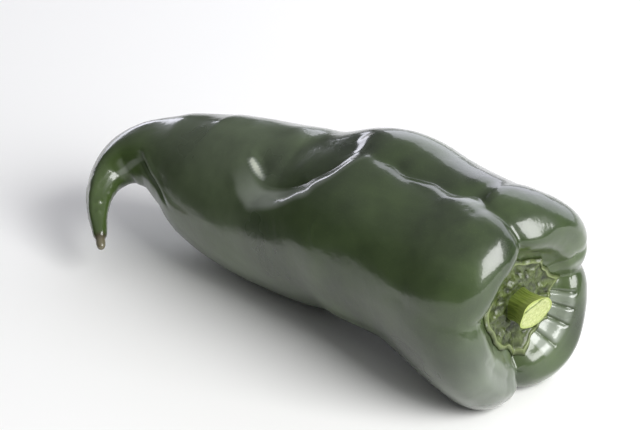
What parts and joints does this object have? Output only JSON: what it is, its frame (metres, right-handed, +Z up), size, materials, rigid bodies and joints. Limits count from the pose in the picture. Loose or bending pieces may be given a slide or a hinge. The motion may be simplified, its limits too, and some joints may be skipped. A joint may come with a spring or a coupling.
{
  "type": "poblano pepper",
  "caption": "Whole poblano pepper lying on its side: lobed, tapering dark green pod with a hooked tip, a folded side, a sunken calyx and a short cut stem.",
  "frame": {"origin": "on the surface the pepper lies on, below the middle of its box", "axes": "+Z up; +X along the pod towards the stem end, so the hooked tip is at -X and bends towards -Y"},
  "size_m": [0.1512, 0.064, 0.0575],
  "materials": {
    "pod_skin": "waxy, glossy, dark green",
    "calyx": "satin, mottled green",
    "stem": "matte, pale yellow-green cut face"
  },
  "bodies": {
    "root": {"pod": "pod_skin", "calyx": "calyx", "stem": "stem"}
  },
  "joints": []
}
